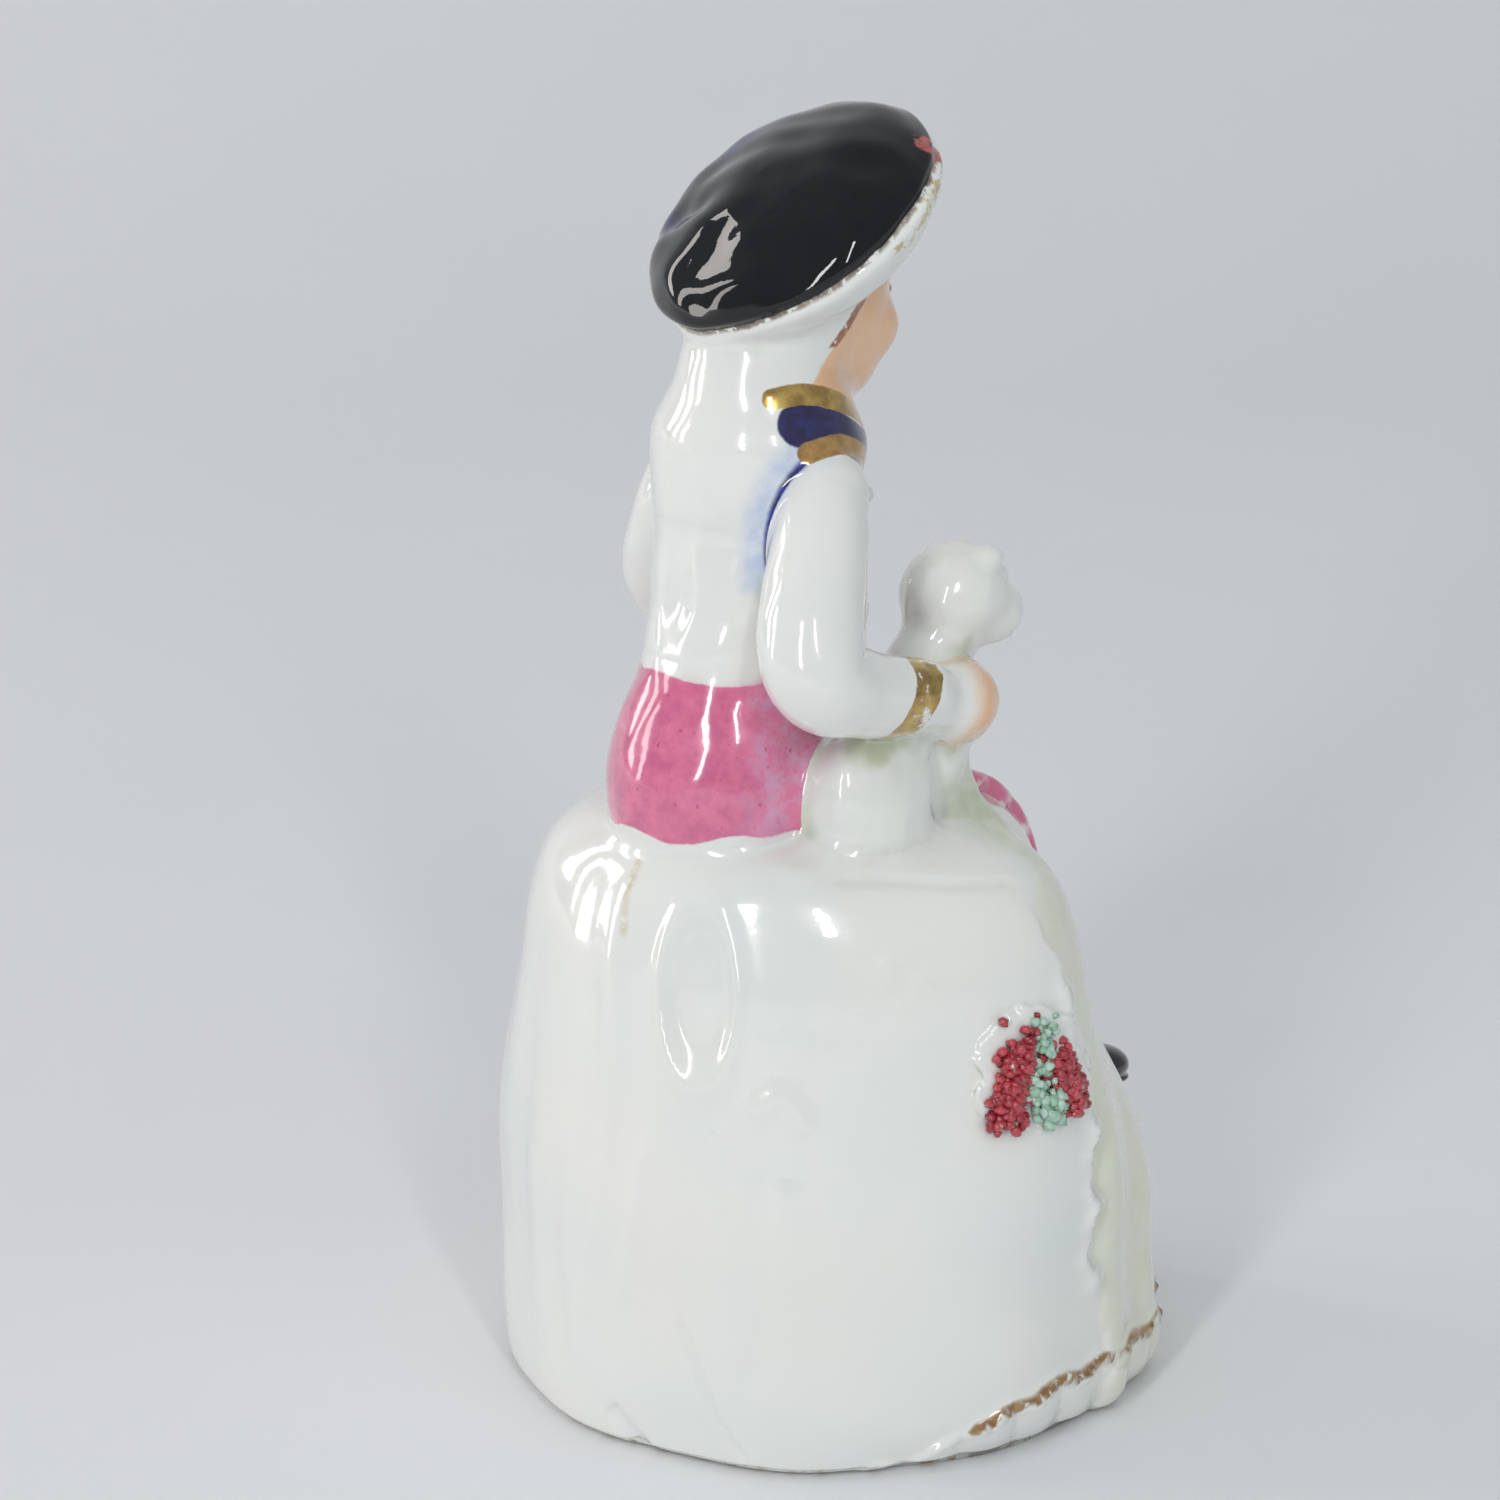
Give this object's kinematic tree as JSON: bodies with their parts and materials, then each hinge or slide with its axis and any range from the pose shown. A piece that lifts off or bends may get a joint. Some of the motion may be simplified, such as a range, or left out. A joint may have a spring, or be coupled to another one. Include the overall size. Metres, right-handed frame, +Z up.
{
  "type": "figurine table bell",
  "caption": "Porcelain table bell shaped as a seated lady with a lap dog, whose hollow skirt is the bell and holds a swinging clapper.",
  "frame": {"origin": "on the table, in the middle of the skirt's rim", "axes": "+Z up along the bell's axis; the lady faces -Y, so her right side is -X"},
  "size_m": [0.056, 0.056, 0.1057],
  "materials": {
    "white_glaze": "glossy white glaze, greenish in the hollows",
    "pink_glaze": "brushed pink overglaze, glossy",
    "flesh_glaze": "flesh tint, glossy",
    "black_glaze": "black mirror glaze",
    "red_glaze": "red glazed clay crumbs",
    "green_glaze": "pale green glazed clay crumbs",
    "plaster": "matt plaster",
    "steel_wire": "dull drawn wire"
  },
  "bodies": {
    "bell": {"skirt_bell": "white_glaze", "peplum": "pink_glaze", "torso": "white_glaze", "head": "flesh_glaze", "hat": "black_glaze", "bodice_bow": "white_glaze", "right_sleeve": "white_glaze", "left_sleeve": "white_glaze", "right_hand": "flesh_glaze", "left_hand": "flesh_glaze", "apron": "pink_glaze", "right_shoe": "black_glaze", "left_shoe": "black_glaze", "dog_body": "white_glaze", "dog_head": "white_glaze", "dog_ear_right": "white_glaze", "dog_ear_left": "white_glaze", "flower_pad": "white_glaze", "red_flowers_left": "red_glaze", "red_flowers_right": "red_glaze", "leaf_sprig": "green_glaze", "crown_plug": "plaster", "clapper_staple": "steel_wire"},
    "hanger_ring": {"hanger_ring": "steel_wire"},
    "clapper": {"clapper_wire": "steel_wire", "clapper_bead": "white_glaze", "clapper_stop": "steel_wire"}
  },
  "joints": [
    {"name": "ring_swing", "type": "hinge", "parent": "bell", "child": "hanger_ring", "pos_m": [0, 0, 0.041], "axis": [1, 0, 0], "range_deg": [-37, 38]},
    {"name": "clapper_swing", "type": "hinge", "parent": "hanger_ring", "child": "clapper", "pos_m": [0, 0, 0.03835], "axis": [0, 1, 0], "range_deg": [-12, 12]}
  ]
}
